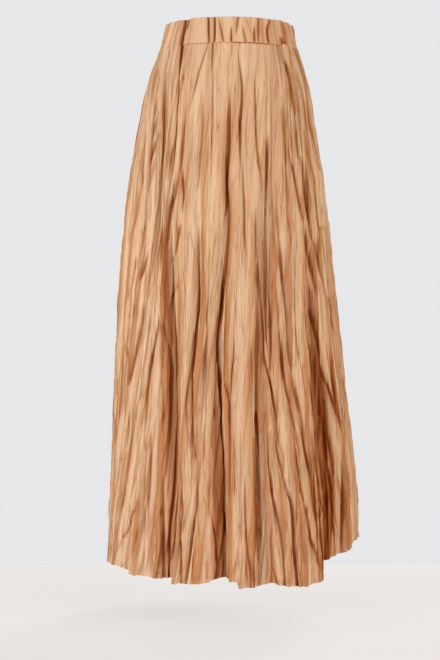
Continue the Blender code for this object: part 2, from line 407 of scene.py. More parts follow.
# %% Crinkle
# Columns: name, seed, count, half length, half width, height, slant, skew.
LEAF_SIZES = (
    ("pleats", 3, 320, (0.25, 0.60), (0.010, 0.018), (0.0025, 0.0055), 0.02, 0.80),
    ("creases", 5, 1800, (0.08, 0.26), (0.0045, 0.009), (0.0012, 0.0030), 0.04, 0.80),
    ("lines", 8, 6000, (0.03, 0.09), (0.0032, 0.005), (0.0007, 0.0015), 0.07, 0.60),
)
GOLDEN = 0.6180339887
PLASTIC = 0.7548776662
JITTER = 0.03
SMALL_LEAVES_MORE_OFTEN = (1.2, 2.0)
WIDTH_BY_SIZE = 0.6
HEIGHT_BY_SIZE = 0.5
LEAST_SKEW = 0.45
SLANT_AT_HEM = 2.6
SIDE_SLANT = 0.07
OVERHANG = 0.5
TOP_DROP = -0.06
BOTTOM_DROP = 0.97


def scatter_leaves(seed, count, half_lengths, half_widths, heights, slant, skew):
    """Leaves of one size: pleat, drop, half length, half width, height, slant and skew of each."""
    chance = np.random.default_rng(seed)
    steps = np.arange(count)
    around = (steps * GOLDEN + chance.normal(0, JITTER, count)) % 1.0
    down = (steps * PLASTIC + chance.normal(0, JITTER, count)) % 1.0
    # The cone is twice as wide below as above, so the leaves are spread by area.
    drop = TOP_DROP + (BOTTOM_DROP - TOP_DROP) * (np.sqrt(1 + 3 * down) - 1)
    size = chance.beta(*SMALL_LEAVES_MORE_OFTEN, count)
    spread = [size]
    for share in (WIDTH_BY_SIZE, HEIGHT_BY_SIZE):
        spread.append(share * size + (1 - share) * chance.random(count))
    limits = (half_lengths, half_widths, heights)
    measures = [low + share * (high - low) for share, (low, high) in zip(spread, limits)]
    swing = 1 + (SLANT_AT_HEM - 1) * np.clip(drop / BOTTOM_DROP, 0, 1) ** 3
    sides = np.sin(2 * np.pi * around)
    slants = (chance.normal(0, slant, count) - SIDE_SLANT * sides) * swing
    skews = chance.uniform(LEAST_SKEW, skew, count) * chance.choice((-1, 1, 1, 1), count)
    return np.stack([around * RING, drop, *measures, slants, skews], axis=-1)


crinkle = [scatter_leaves(*row[1:]) for row in LEAF_SIZES]
print("leaves:", {row[0]: row[2] for row in LEAF_SIZES})

# %% [markdown]
# A leaf's height is worked out only on the few points it covers: the rows of the grid that it
# reaches, and on each row the points near its middle line, measured along the cloth.

# %% Height of the leaves
WINDOW_REACH = 4.0
WINDOW_MARGIN = 3
PAST_END = 0.5


def along_rows(points):
    """How far each point lies from the grid's first column, measured along its own row."""
    steps = np.linalg.norm(np.diff(points, axis=1), axis=-1)
    return np.concatenate([np.zeros((len(points), 1)), np.cumsum(steps, axis=1)], axis=1)


def box_mean(points, reach):
    """Each point's mean with its neighbours in the row, up to reach columns away."""
    padded = np.concatenate([points[:, :1]] * reach + [points] + [points[:, -1:]] * reach, axis=1)
    total = np.cumsum(np.concatenate([np.zeros_like(points[:, :1]), padded], axis=1), axis=1)
    width = 2 * reach + 1
    return (total[:, width:] - total[:, :-width]) / width


def window_of(run, rows, axis, reach):
    """The grid points of these rows that lie within reach of the leaf's middle line."""
    ends = [(run[rows[end]], axis[end]) for end in (0, -1)]
    start = min(np.searchsorted(line, middle - reach) for line, middle in ends)
    stop = max(np.searchsorted(line, middle + reach) for line, middle in ends)
    first = max(start - WINDOW_MARGIN, 0)
    last = min(stop + WINDOW_MARGIN, run.shape[1])
    return np.ix_(rows, np.arange(first, last))


def leaf_relief(leaves, pleats, drops, run):
    """The height of the highest leaf over each point of a grid, and which way it leans."""
    height = np.zeros_like(drops)
    lean = np.zeros_like(drops)
    columns = np.arange(len(pleats))
    for pleat, drop, half_length, half_width, top, slant, skew in leaves:
        for turned in (pleat - RING, pleat, pleat + RING):
            if not pleats[0] - PAST_END <= turned <= pleats[-1] + PAST_END:
                continue
            column = np.interp(turned, pleats, columns)
            left = min(int(column), len(pleats) - 2)
            share = column - left
            here = (1 - share) * drops[:, left] + share * drops[:, left + 1]
            rows = np.flatnonzero(np.abs(here - drop) < half_length)
            if not len(rows):
                continue
            axis = (1 - share) * run[rows, left] + share * run[rows, left + 1]
            axis = axis + slant * (here[rows] - drop)
            window = window_of(run, rows, axis, WINDOW_REACH * half_width)
            away = run[window] - axis[:, None]
            span = half_width * (1 - skew * np.sign(away))
            ridge = top * (1 - np.abs(here[rows] - drop)[:, None] / half_length - np.abs(away) / span)
            wins = ridge > height[window]
            height[window] = np.where(wins, ridge, height[window])
            lean[window] = np.where(wins, skew, lean[window])
    return height, lean * height


# %% [markdown]
# On top of the crinkle come the creases that make this skirt look like the photo. Each is given
# by the points that it runs through, in centimetres, then its half width and its depth in
# millimetres, where a negative depth is a raised fold. Its side says which of its sides is steep:
# 1 the right one and -1 the left one. A crease is soft on one side and crisp on the other where
# one pleat laps over the next. A point is how far across the camera sees it, on an upright plane
# through the middle of the skirt, and how far down from the seam.

# %% Creases placed one by one
# Columns: points, half width, depth, side.
LEFT_CREASES = (
    (((-12.7, 4.9), (-12.9, 7), (-13.5, 9.3)), 4, 4, 0.5),
    (((-11.2, 5), (-11.7, 7), (-12.3, 9.2)), 3, 2, 0),
    (((-10.3, 5.8), (-10.4, 7.5), (-10.6, 10)), 3, 2.5, 0),
    (((-12.8, 10.2), (-13.4, 12.2), (-14, 14.2)), 4, 3, 0),
    (((-12.7, 12.8), (-13.3, 14.8), (-14.2, 17)), 4, 5, 0.3),
    (((-12.6, 16.4), (-13.3, 18), (-13.9, 19.7), (-14.3, 21.2)), 3.5, 5, 0),
    (((-13, 19.6), (-13.7, 22.2), (-14.3, 25)), 4, 3.5, 0),
    (((-15.5, 18.5), (-15.9, 20.6), (-16.4, 22.9)), 4, 3, 0),
    (((-11.6, 8), (-11.8, 13), (-11.9, 17), (-12.1, 20.5)), 3, 5, 0),
    (((-12, 18.5), (-12.3, 24.7), (-12.8, 33), (-13.4, 37.7), (-13.9, 43)), 9, 7, 0.7),
    (((-15.9, 24.8), (-16.3, 27.3), (-16.8, 31), (-17.5, 34)), 5, 4.5, 0.4),
    (((-15.3, 30.5), (-15.4, 33.5), (-16.1, 37), (-16.5, 38.5)), 4, 4, 0),
    (((-16.8, 38.5), (-17.2, 40.6), (-17.5, 42.4), (-18.1, 44.5)), 3.5, 3.5, 0),
    (((-15, 37.8), (-15.5, 39.8), (-16.1, 41.6)), 2.5, 4, 0),
    (((-15.1, 40.8), (-15.2, 43.7), (-15.5, 45.8)), 5, 3.5, 0.5),
    (((-12, 33.2), (-12.1, 36), (-12.3, 38.4)), 3, 4, 0),
    (((-15.3, 47.2), (-16.1, 51), (-16.8, 54), (-17.4, 56.3), (-18.6, 62)), 4, 6.5, 0.3),
    (((-13, 50.5), (-13.5, 53), (-14.1, 55.8), (-14.7, 59), (-15.2, 65)), 3.5, 6, -0.3),
    (((-17, 47), (-17.4, 49), (-18, 52)), 3, 3, 0),
    (((-19.2, 57), (-19.4, 60), (-19.5, 63), (-19.9, 66), (-20.4, 71)), 3, 5, 0),
    (((-16.1, 62.3), (-16.9, 65), (-17.8, 71), (-18.7, 77), (-19.3, 79.5)), 5, 7, 0.5),
    (((-14.3, 70), (-14.4, 76), (-14.7, 80), (-14.8, 82)), 4, 5, -0.5),
    (((-19.4, 72.2), (-19.8, 75), (-20.2, 77.5), (-20.6, 79.5)), 3, 4, 0),
    (((-18.7, 76.6), (-19.1, 79.2), (-19.5, 82)), 3, 4.5, 0),
    (((-17.1, 80.5), (-17.9, 83), (-18.7, 85.8), (-19.6, 88)), 3, 5, -0.4),
    (((-16.6, 84.5), (-17.3, 87.2), (-18, 89.5)), 3, 3.5, 0),
    (((-15.5, 75.7), (-15.6, 79), (-16.1, 82)), 4, 4.5, 0),
    (((-13.2, 77.8), (-13.6, 81), (-14, 84.5), (-14.7, 89.5)), 4, 5.5, 0),
    (((-15.5, 80), (-15.5, 84), (-15.7, 88), (-16, 93)), 8, 6, 0.7),
    (((-13.5, 83.5), (-13.9, 87), (-14.1, 91.5)), 3.5, 4, 0),
)
DEEP_LEFT_CREASES = (
    (((-8.2, -6), (-8.5, 0), (-8.8, 3.5), (-9.2, 12), (-9.5, 16), (-9.8, 18.5)), 2.6, 7.5, 0),
    (((-9.8, 17.5), (-10.3, 20), (-10.6, 23)), 4, 5, 0.5),
    (((-8, 13.5), (-8.4, 17.5), (-8.7, 20.5), (-9, 22.7), (-9.6, 25)), 5, 8, -0.5),
    (((-9.4, 23.5), (-9.8, 26.5), (-10.3, 28.5), (-10.9, 33.5), (-11.3, 36.5)), 4.5, 8, 0),
    (((-8.5, 22.7), (-8.3, 24.8), (-8.2, 26.5), (-8.4, 28.6)), 2.5, 5, 0),
    (((-9, 33), (-9.4, 35.1), (-9.7, 36.8), (-10.3, 38.2)), 2.5, 4, 0),
    (((-9.4, 41.8), (-9.9, 43.8), (-10.5, 46)), 3, 5, 0),
    (((-11.5, 51), (-10.6, 55), (-10.4, 58), (-10.4, 62), (-10.9, 71)), 6, 8, -0.4),
    (((-11.6, 52.5), (-12.1, 55.5), (-12.4, 58), (-12.2, 61), (-12, 65)), 5, 6, 0),
    (((-9.5, 72.5), (-9.7, 76), (-10.1, 79.5), (-10.5, 83), (-10.8, 87), (-10.8, 97)), 3.5, 16, 0.3),
    (((-12, 78.5), (-12, 84), (-11.9, 90), (-11.7, 98)), 7, 12, -0.3),
)
MIDDLE_CREASES = (
    (((-3.4, -1.5), (-4.1, 1.2), (-4.6, 2.7), (-5.4, 5), (-5.9, 7), (-6.6, 9.5)), 3, 4.5, 0),
    (((-2.7, -2), (-2.9, 1.8), (-3, 4)), 3, 7, 0),
    (((-3, 2.5), (-2.9, 8), (-2.9, 13), (-3, 17), (-3.1, 21)), 6, 4.5, 0.6),
    (((-4.6, 11.5), (-4.7, 14.5), (-4.9, 17.5), (-5.1, 20.5), (-5.4, 23.5)), 3, 4, 0.2),
    (((-0.1, 3), (-0.1, 8.5), (0, 13)), 5, 4, 0.3),
    (((0.2, 12), (0.1, 16), (0, 19.3), (-0.2, 23), (-0.3, 28)), 5, 15, 0.5),
    (((0.6, -0.5), (0.5, 1.5), (0.2, 3)), 2.5, 3, 0),
    (((-0.3, 26.5), (-0.2, 29), (-0.3, 34), (-0.8, 41), (-1.3, 46.5), (-1.9, 52.5)), 5, 18, -0.2),
    (((-1.6, 49), (-1.9, 53), (-1.8, 56), (-1.6, 58.5), (-1.4, 63)), 4, 12, 0),
    (((-1.5, 60), (-1.3, 64.5), (-1.2, 68), (-1, 71.5), (-0.9, 75)), 3.5, 8, 0),
    (((-0.5, 46), (-0.9, 56), (-0.9, 59), (-0.2, 61.5), (0.1, 65), (0.1, 75)), 3.5, 6, -0.3),
    (((0.9, 50), (0.9, 54), (0.5, 58), (0.3, 61)), 3, 5, 0),
    (((-0.7, 82), (-0.5, 86), (-0.3, 90), (-0.2, 97)), 4, 9, 0.3),
    (((-3.9, 44.5), (-4.1, 51.5), (-4.5, 59), (-4.8, 63), (-5.5, 69)), 6, 4.5, 0.5),
    (((-5.4, 40), (-5.3, 46), (-5.8, 50), (-6.4, 58), (-6.6, 69)), 4, 8, 0.4),
    (((-6.8, 56.5), (-7.4, 61), (-7.6, 64), (-7.5, 66)), 2.5, 3, 0),
    (((-8.5, 76.2), (-8.4, 80), (-8.8, 84), (-8.7, 89), (-8.4, 96)), 3.5, 6, 0.3),
    (((-6.5, 66.5), (-6.4, 69.5), (-5.8, 72)), 3, 4, 0),
    (((-5.8, 71.5), (-5.9, 80.2), (-6.5, 84), (-7.1, 88.2), (-7.6, 91.5)), 3.5, 6, 0.3),
    (((-3.5, 75.5), (-3.6, 78), (-3.6, 81)), 3, 4, 0),
    (((-3.1, 82.3), (-2.5, 85.2), (-2.3, 88), (-2.1, 91)), 3, 6, -0.3),
    (((2, 3.8), (2.4, 7), (2.4, 10.8), (2.1, 14.5), (2.1, 18)), 4, 9, 0.3),
    (((2.7, 22.3), (2.8, 28), (2.8, 33.5), (3, 37)), 3, 4, 0.3),
    (((5.2, 3.6), (4.8, 6.5), (4.8, 12.5), (5.1, 18.8), (5.9, 24.6)), 3, 4.5, 0),
    (((4.8, 31.5), (4.7, 35), (4.9, 38.6), (5.2, 42)), 4, 5, 0.3),
    (((3.9, 53.2), (4.3, 56.5), (4.5, 59.5)), 2.8, 4, 0),
    (((4.6, 58), (4.7, 62.5), (4.9, 66), (5.2, 70)), 3.5, 7, -0.5),
    (((0.8, 69), (1, 72.5), (1.1, 77)), 3, 2.5, 0),
    (((2.1, 68), (2.1, 73), (2, 78)), 3, 2, 0),
    (((3, 78), (3, 81), (3.2, 83.5), (3.6, 87), (4.3, 95)), 4.5, 7, 0.2),
)
RIGHT_CREASES = (
    (((6.9, 17.5), (6.9, 20), (6.8, 23), (6.7, 26)), 4, 6, 0),
    (((7.6, 4), (7.7, 13), (7.8, 23), (7.8, 27), (8.1, 33), (8.3, 37.5)), 5, 5, -0.5),
    (((8.8, 29), (9.2, 36), (9.9, 42), (10.6, 48), (10.8, 52.4)), 6, 8, 0.4),
    (((10.7, 50), (11.2, 55), (11.9, 58.7), (12.6, 62), (13.8, 69)), 5, 8, 0.4),
    (((8.8, 45), (9.5, 53.5), (10.3, 59.3), (11.4, 63.8), (12.5, 68), (12.8, 70.5)), 4, 7, 0.3),
    (((5.7, 44.5), (6, 48), (6.6, 55.5), (7.1, 57.5), (7.7, 60.5), (8.7, 66)), 3.5, 9, 0),
    (((7.2, 45), (7.4, 50), (7.5, 56)), 3.5, 8, 0),
    (((10, 12), (10.1, 16), (10.3, 20), (10.5, 24), (10.6, 29.5)), 4, 6, 0.5),
    (((10.3, 6), (10.4, 9), (10.9, 12.7), (11.4, 18), (11.5, 20)), 5, 4, 0.3),
    (((11, 18), (11.2, 20.4), (12.4, 25.1), (12.8, 27.4), (13.4, 30.5)), 2.8, 5, 0),
    (((9.3, 0.6), (9.9, 2.5), (10.9, 5.6), (11.5, 9.4), (12, 11.8), (12.3, 13.7)), 4, 7, 0),
    (((12.3, 12), (12.3, 15.5), (12.6, 18.2), (13, 20.6), (13.4, 23.4)), 4, 6, 0),
    (((12.7, 5), (12.8, 9), (13, 14)), 5, 3, 0.3),
    (((13.5, 8), (13.9, 11), (14.1, 13.7), (14.5, 16), (14.8, 18.2)), 4, 5, 0),
    (((14.4, 11.5), (14.8, 14.2), (15.4, 16.7), (15.9, 20)), 4, 6, 0),
    (((13.7, 16), (14.1, 18.9), (14.6, 21.5), (15, 24)), 4, 4, 0),
    (((13.5, 24), (14.3, 28.5), (15, 33.3), (15.5, 35.8), (16.6, 40.3), (17.7, 45)), 6, 9, -0.2),
    (((13.9, 34.5), (14.2, 37), (14.6, 39), (15.4, 42.9), (15.8, 45)), 5, 8, 0.3),
    (((15.2, 25), (15.8, 28.5), (16.3, 31), (16.8, 34), (17.4, 38)), 6, 5, 0),
    (((16.1, 18.5), (16.1, 21), (16.5, 23), (16.9, 25)), 3.5, 6, 0),
    (((17, 25.6), (17.5, 30), (17.9, 33.5), (18.2, 36)), 4, -4, 0),
    (((7, 67), (7.2, 71.4), (8, 78), (9.2, 83.5), (9.9, 89.5), (10.1, 96)), 5, 8, 0.3),
    (((8.3, 66.8), (9.3, 72), (10, 75), (11.2, 78.5), (11.6, 82), (11.7, 86)), 5, 8, 0.2),
    (((11.6, 84), (11.7, 86), (12.2, 90.5), (12.4, 93), (12.3, 97)), 4.5, 8, 0.2),
    (((12, 68), (12.5, 72.5), (13.3, 76.8), (14.3, 82), (15.1, 86)), 4, 7, 0.3),
    (((13.4, 68), (14.5, 73), (15, 75), (15.4, 77.5), (16, 82)), 3.5, 9, 0.2),
    (((14.6, 70.5), (15.2, 73.5), (15.6, 76), (15.9, 78.5)), 3, 5, 0),
    (((14.1, 82.5), (14.5, 84.5), (15.2, 86), (15.9, 87.7), (16.7, 90)), 2.5, 5, -0.3),
    (((15.2, 68), (15.8, 71.5), (15.9, 75)), 3, 4, 0),
    (((13, 80), (13.2, 83.5), (13.6, 88)), 3, 3.5, 0),
    (((7.8, 82.5), (7.6, 85), (7.9, 90), (7.6, 92.5), (7.2, 97)), 4.5, 6, 0.4),
    (((7.9, 89.5), (8.5, 91.5), (9.2, 93.3), (9.6, 95.5)), 2.5, 5, -0.3),
    (((7, 80.5), (6.6, 84), (6.3, 87), (5.9, 90.5), (5.6, 95)), 5, 4, 0),
)
LOBE_CREASES = (
    (((14, 45), (14.2, 49), (15, 54), (15.6, 60), (16.2, 70)), 4, 7, -0.6),
    (((14.7, 49), (15.9, 54.5), (16.5, 59.5), (17.2, 65), (18.1, 71.5)), 4, 9, -0.2),
    (((17.6, 68), (18.1, 71.5), (18.6, 75), (19, 79), (19.7, 86)), 3, 7, -0.2),
    (((15.1, 58.8), (15.5, 62), (15.9, 65)), 2, 5, 0),
    (((16.2, 66), (16.3, 73), (16.6, 76), (17, 79.5), (17.4, 83)), 2, 5.5, 0),
    (((16.8, 66), (17.2, 72.5), (17.7, 76), (18.2, 79), (18.7, 84)), 1.8, 5, 0),
    (((17.1, 67), (17.6, 73.5), (18, 77), (18.5, 80)), 1.6, 4.5, 0),
    (((15.8, 72), (15.9, 78), (16.2, 84), (16.5, 90)), 1.8, 4.5, 0),
    (((16.5, 78), (16.7, 82), (16.9, 86), (17.2, 91)), 1.8, 4.5, 0),
    (((17.5, 80), (17.7, 84), (17.9, 90)), 1.8, 4.5, 0),
    (((18.3, 80), (18.6, 84), (18.7, 90)), 1.8, 4.5, 0),
    (((19.2, 82), (19.3, 86), (19.4, 89.5)), 1.8, 5, 0),
    (((16.5, 57.3), (17, 59.5), (18.5, 64.3), (19.2, 66.5), (19.9, 68.5)), 2.2, 6, 0.2),
    (((18.5, 58.5), (18.7, 61.5), (19, 63.5), (20.1, 69), (20.8, 72)), 2.6, 7, -0.4),
    (((19.9, 67.5), (20.6, 70.5), (21.1, 73), (22.2, 78)), 1.8, 5, 0),
    (((20.6, 76), (20.6, 80), (20.6, 84), (20.5, 90)), 3, 7, -0.5),
    (((21.9, 83), (21.9, 85), (21.9, 87.5)), 1.6, 4, 0),
)
CREASES = LEFT_CREASES + DEEP_LEFT_CREASES + MIDDLE_CREASES + RIGHT_CREASES + LOBE_CREASES
print("creases placed by hand:", len(CREASES))

# %% [markdown]
# A few valleys between the large folds are too wide to be a crease and lie in full shade in the
# photo. Their depth alone leaves them too pale, because soft lamps reach into them, so each has
# a row too: its line, how far its shade reaches to the left and right of that line in
# millimetres, and how full the shade is, from 0 to 1.

# %% Valleys in full shade
# Columns: points, reach to the left, reach to the right, share of shade.
BROAD_VALLEYS = (
    (((-1.9, 66), (-2.1, 72), (-2, 80), (-1.5, 95)), 18, 16, 0.55),
    (((-1.2, 74), (-1.1, 80), (-0.8, 90), (-0.8, 97)), 12, 10, 0.90),
    (((-11.3, 36), (-11, 48), (-10.4, 58), (-10.2, 68), (-10.3, 76)), 12, 12, 0.50),
    (((4.9, 46), (4.9, 58), (4.8, 70), (4.7, 82), (4.7, 95)), 3, 20, 0.48),
    (((4.9, 80), (4.9, 88), (4.9, 97)), 4, 9, 0.80),
    (((-5.7, 36), (-5.8, 42), (-6, 50)), 5, 7, 0.34),
)
print("valleys in full shade:", len(BROAD_VALLEYS))

# %% [markdown]
# A crease is known by how the camera sees it, so on each row of points the script looks for the
# nearest place that is seen on the crease's line. The crease fades at both ends, near the left
# and right edges of the skirt, and just below the front waistband, where the cloth is pulled.

# %% Find a crease on the cloth
FRONT_SIDE = -1
BACK_SIDE = 1
TAIL = 0.3
LEAST_FACING = 0.55
EDGE_START = 0.20
EDGE_REACH = 0.20
CALM_CREASES = 0.4
CALM_CREASE_CENTRE = 0.02
CALM_CREASE_REACH = 0.09
CALM_CREASE_DROP = 0.13


def seen_across(points, side):
    """Where a camera on this side sees each point, and how far that point lies towards it."""
    nearer = side * points[..., 1]
    across = (points[..., 0] - CAMERA_ACROSS) * CAMERA_AWAY / (CAMERA_AWAY - nearer)
    return CAMERA_ACROSS + across, nearer


def place_in_row(target, seen, nearer, run):
    """How far along a row the nearest point lies that is seen at the target, or None."""
    crossings = np.flatnonzero((seen[:-1] - target) * (seen[1:] - target) <= 0)
    if not len(crossings):
        return None
    i = crossings[np.argmax(nearer[crossings])]
    share = (target - seen[i]) / (seen[i + 1] - seen[i] + TINY)
    return run[i] + share * (run[i + 1] - run[i])


def calm_at(across, level):
    """The creases' strength at a place: less below the front waistband, where the cloth is pulled."""
    if level < 0:
        return 1.0
    near = ((across - CALM_CREASE_CENTRE) / CALM_CREASE_REACH) ** 4 + (level / CALM_CREASE_DROP) ** 4
    return 1 - CALM_CREASES * math.exp(-near)


def rows_of(points, seen, nearer, run, levels_here):
    """The rows that a crease crosses: each one's number, its points' distances from the crease,
    the crease's strength there, and how squarely the cloth faces the camera."""
    places, levels = (np.array(column) * CM for column in zip(*points))
    tail = TAIL * (levels[-1] - levels[0])
    top, bottom = levels[0] - tail, levels[-1] + tail
    slopes = np.gradient(places, levels)
    half_here = smooth(levels_here, SECTIONS[:, 0], SECTIONS[:, 1])
    for row in np.flatnonzero((levels_here > top) & (levels_here < bottom)):
        level = levels_here[row]
        traced = min(max(level, levels[0]), levels[-1])
        slope = slopes[0] if level < levels[0] else slopes[-1]
        target = float(smooth(traced, levels, places)) + slope * (level - traced)
        axis = place_in_row(target, seen[row], nearer[row], run[row])
        if axis is not None:
            facing = math.sqrt(max(1 - (target / half_here[row]) ** 2, 0))
            end = (level - top) / (bottom - top)
            taper = 4 * end * (1 - end) * calm_at(target, level)
            taper *= min(max((facing - EDGE_START) / EDGE_REACH, 0), 1)
            yield row, run[row] - axis, taper, max(facing, LEAST_FACING)


print("strength of a crease at the front waistband: %.2f" % calm_at(CALM_CREASE_CENTRE, 0))

# %% [markdown]
# The depth in the table is the real crease's. The mesh takes only a share of it, up to a limit,
# because the steep walls of a deeper groove catch a glancing light and look grey. The rest of
# its darkness is painted shade, in two attributes for the material: a thin dark line of painted
# shade in the groove, and a softer painted shade beside it. The back, which the photo hides,
# takes the same creases, each moved a little.

# %% Press the creases in
BACK_SEED = 11
BACK_SHIFT = (0.8, 3.0)
LEAN_OF_SIDE = 0.7
TIP_WIDTH = 0.35
OPENED = 0.60
DEEPEST = 8.0
OPENED_WIDTH = 5.0
# The painted shade of a crease: a thin dark line in its groove and a soft shade beside it.
MARK_STEEP = 1.3
MARK_SLOPE = 2.6
MARK_HALF_WIDTH = 0.0022
MARK_LEAST = 0.7
MARK_GROWTH = 1.3
DARKEST = 1.15
SHADE_SIDE = 2.8
LIT_SIDE = 2.0
SHADE_SHARE = 0.38


def crease_relief(creases, form, drops, run, side=FRONT_SIDE):
    """How far the creases move each point out, and its painted shade in the groove and beside it."""
    height = np.zeros_like(drops)
    crease_shade = np.zeros_like(drops)
    shaded = np.zeros_like(drops)
    levels_here = drops.mean(axis=1)
    seen, nearer = seen_across(form, side)
    for points, half_width, depth, steep_side in creases:
        darkness = min(depth / (half_width * MARK_SLOPE), DARKEST)
        groove = min(depth * min(OPENED * max(half_width / OPENED_WIDTH, 1), 1), DEEPEST)
        for row, away, taper, facing in rows_of(points, seen, nearer, run, levels_here):
            span = half_width * MM / facing * (1 - LEAN_OF_SIDE * steep_side * np.sign(away))
            span = span * (TIP_WIDTH + (1 - TIP_WIDTH) * taper)
            height[row] -= groove * MM * taper * np.clip(1 - np.abs(away) / span, 0, None)
            # Painted shade: a dark line in the groove, then a soft shade beside it.
            line = np.minimum(span, MARK_HALF_WIDTH * (MARK_LEAST + MARK_GROWTH * darkness) / facing)
            inner = np.clip(MARK_STEEP * (1 - np.abs(away) / line), 0, 1)
            crease_shade[row] = np.maximum(crease_shade[row], np.minimum(darkness * taper, 1) * inner)
            reach = line * np.where(away < 0, SHADE_SIDE * (1 + steep_side), LIT_SIDE * (1 - steep_side))
            near = np.clip(1 - np.abs(away) / reach, 0, 1)
            shaded[row] = np.maximum(shaded[row], SHADE_SHARE * min(darkness, 1) * taper * near)
    return height, crease_shade, shaded


def broad_shade(form, drops, run, side):
    """How much painted shade each point takes from the wide valleys."""
    shaded = np.zeros_like(drops)
    seen, nearer = seen_across(form, side)
    for points, left, right, share in BROAD_VALLEYS:
        for row, away, taper, _ in rows_of(points, seen, nearer, run, drops.mean(axis=1)):
            reach = np.where(away < 0, left, right) * MM
            near = np.clip(MARK_STEEP * (1 - np.abs(away) / reach), 0, 1)
            shaded[row] = np.maximum(shaded[row], share * min(taper * MARK_STEEP, 1) * near)
    return shaded


def moved(creases):
    """The creases for the back: each moved by its own small step."""
    chance = np.random.default_rng(BACK_SEED)
    return [
        ([(x + across, drop + down) for x, drop in points], *sizes)
        for (points, *sizes), (across, down) in zip(
            creases, chance.normal(0, BACK_SHIFT, (len(creases), 2))
        )
    ]


print("creases for the back:", len(moved(CREASES)))

# %% [markdown]
# The crinkle is not equally strong everywhere. Below the front waistband the cloth is pulled
# almost smooth, and it is liveliest at the sides and low down. The strength is worked out from
# the angle and the drop, and multiplies the leaves.

# %% Strength of the crinkle
CALM_CENTRE = 12.0
CALM_ANGLE = 40.0
CALM_DROP = 0.20
CALM_SHARE = 0.82
LIVELY_SIDES = 0.5


def side_strength(angles):
    """1 in the middle of the front and back, more towards the sides."""
    return 1 + LIVELY_SIDES * np.sin(np.radians(angles)) ** 2


def strength_at(angles, drops):
    """The strength of a panel's crinkle at each point."""
    around = np.exp(-(((angles - CALM_CENTRE) / CALM_ANGLE) ** 4))
    down = np.exp(-((np.clip(drops, 0, None) / CALM_DROP) ** 2))
    return (1 - CALM_SHARE * around * down) * side_strength(angles)


def crinkled(form, pleats, drops, strength):
    """The height of all sizes of leaf over the form, and how far they roll sideways."""
    run = along_rows(form)
    relief = np.zeros_like(drops)
    roll = np.zeros_like(drops)
    for leaves in crinkle:
        height, lean = leaf_relief(leaves, pleats, drops, run)
        relief += height - leaves[:, 4].mean() / 2
        roll += OVERHANG * lean
    return relief * strength, box_mean(roll, 1) * strength


def displaced(form, relief, roll):
    """The form's points moved out by the relief and along their row by the roll."""
    along = np.gradient(form, axis=1)
    along /= np.linalg.norm(along, axis=-1, keepdims=True)
    return form + normals_of(form) * relief[..., None] + along * roll[..., None]


# %% [markdown]
# A sheet starts as a flat grid, as the cloth does, and every point of it is then laid on the
# folded form. The grid keeps its flat map as a UV map, so that the weave follows the cloth. It
# carries three attributes by which the material paints shade and light into the colour: "fold"
# is 0 deep in a small fold and 1 on its ridge, "crease" is the painted shade in the groove of a
# placed crease, and "valley" is the softer painted shade in deep valleys and beside creases.

# %% Lay a flat grid on the form
FOLD_REACH_COLUMNS = 9
FOLD_FULL = 0.005


def fold_shade(points):
    """0 deep in a fold, 1 on a ridge: the material paints shade and light by it."""
    mean = box_mean(box_mean(points, FOLD_REACH_COLUMNS), FOLD_REACH_COLUMNS)
    height = ((points - mean) * normals_of(mean)).sum(axis=-1)
    return np.clip(0.5 + height / (2 * FOLD_FULL), 0, 1)


def lay_sheet(name, points, crease_shade, valley):
    """A cloth of this name: a flat grid laid on these points, bottom row first."""
    rows, columns = points.shape[:2]
    bpy.ops.object.select_all(action="DESELECT")
    bpy.ops.mesh.primitive_grid_add(x_subdivisions=columns - 1, y_subdivisions=rows - 1, size=1)
    cloth = bpy.context.object
    cloth.name = name
    cloth.data.name = name
    cloth.data.vertices.foreach_set("co", np.ascontiguousarray(points, np.float32).ravel())
    for attribute, values in (("fold", fold_shade(points)), ("crease", crease_shade), ("valley", valley)):
        shade = cloth.data.attributes.new(attribute, "FLOAT", "POINT")
        shade.data.foreach_set("value", values.astype(np.float32).ravel())
    cloth.data.update()
    bpy.ops.object.shade_smooth()
    print(name, len(cloth.data.polygons) * 2, "triangles")
    return cloth


# %% [markdown]
# A panel runs from the waist seam to the hem. Its columns follow the folds and are spaced evenly
# over the cloth. Its top edge is tucked a little way up inside the waistband, where it is sewn.
# The hem isn't level: each pleat ends a few millimetres higher or lower than the next. A few
# columns past both side seams are worked out as well and then left off, so that the two panels
# meet there.

# %% Panels
PANEL_COLUMNS = 600
PANEL_ROWS = 158
SEAM_MARGIN = 12
SPACING_LEVELS = (0.1, 0.4, 0.7, 0.9)
SEAM_ROWS = (-0.003, -0.0012, 0.0, 0.0015)
HEM_ROWS = (0.0088, 0.0073, 0.0064, 0.0055, 0.0)
# Painted shade in the deep folds: where it starts, where it is full, and its most.
VALLEY_START = 0.008
VALLEY_FULL = 0.032
VALLEY_MOST = 0.46
HEM_TURN = 0.0064
HEM_GROOVE = 0.0006
HEM_GROOVE_REACH = 0.0012
TUCK_DEPTH = 0.0012
TUCK_REACH = 0.0012
TUCK_LEAST = 0.4
PLEAT_SAMPLE = 40
HEM_UNEVEN = 0.0018
HEM_WAVES = ((0.55, 0.65), (1.3, 0.35))
SEAM_ANGLES = (-49, -42, -12, 1, 5, 29, 35, 46, 52, 95, 120, 240, 265)
SEAM_SHARES = (0.0, 0.3, 0.35, 0.4, 1.0, 1.0, 0.5, 0.45, 0.0, 0.0, 0.5, 0.5, 0.0)
# The painted shade of a dark line along the waist seam, and its half width.
SEAM_DARK = 0.8
SEAM_LINE = 0.0015


def around_skirt(angles, table_angles, shares):
    """The share at each angle, from a table whose angles are given from the centre front."""
    table = np.array(table_angles) % FULL_TURN
    order = np.argsort(table)
    return np.interp(angles % FULL_TURN, table[order], np.array(shares)[order], period=FULL_TURN)


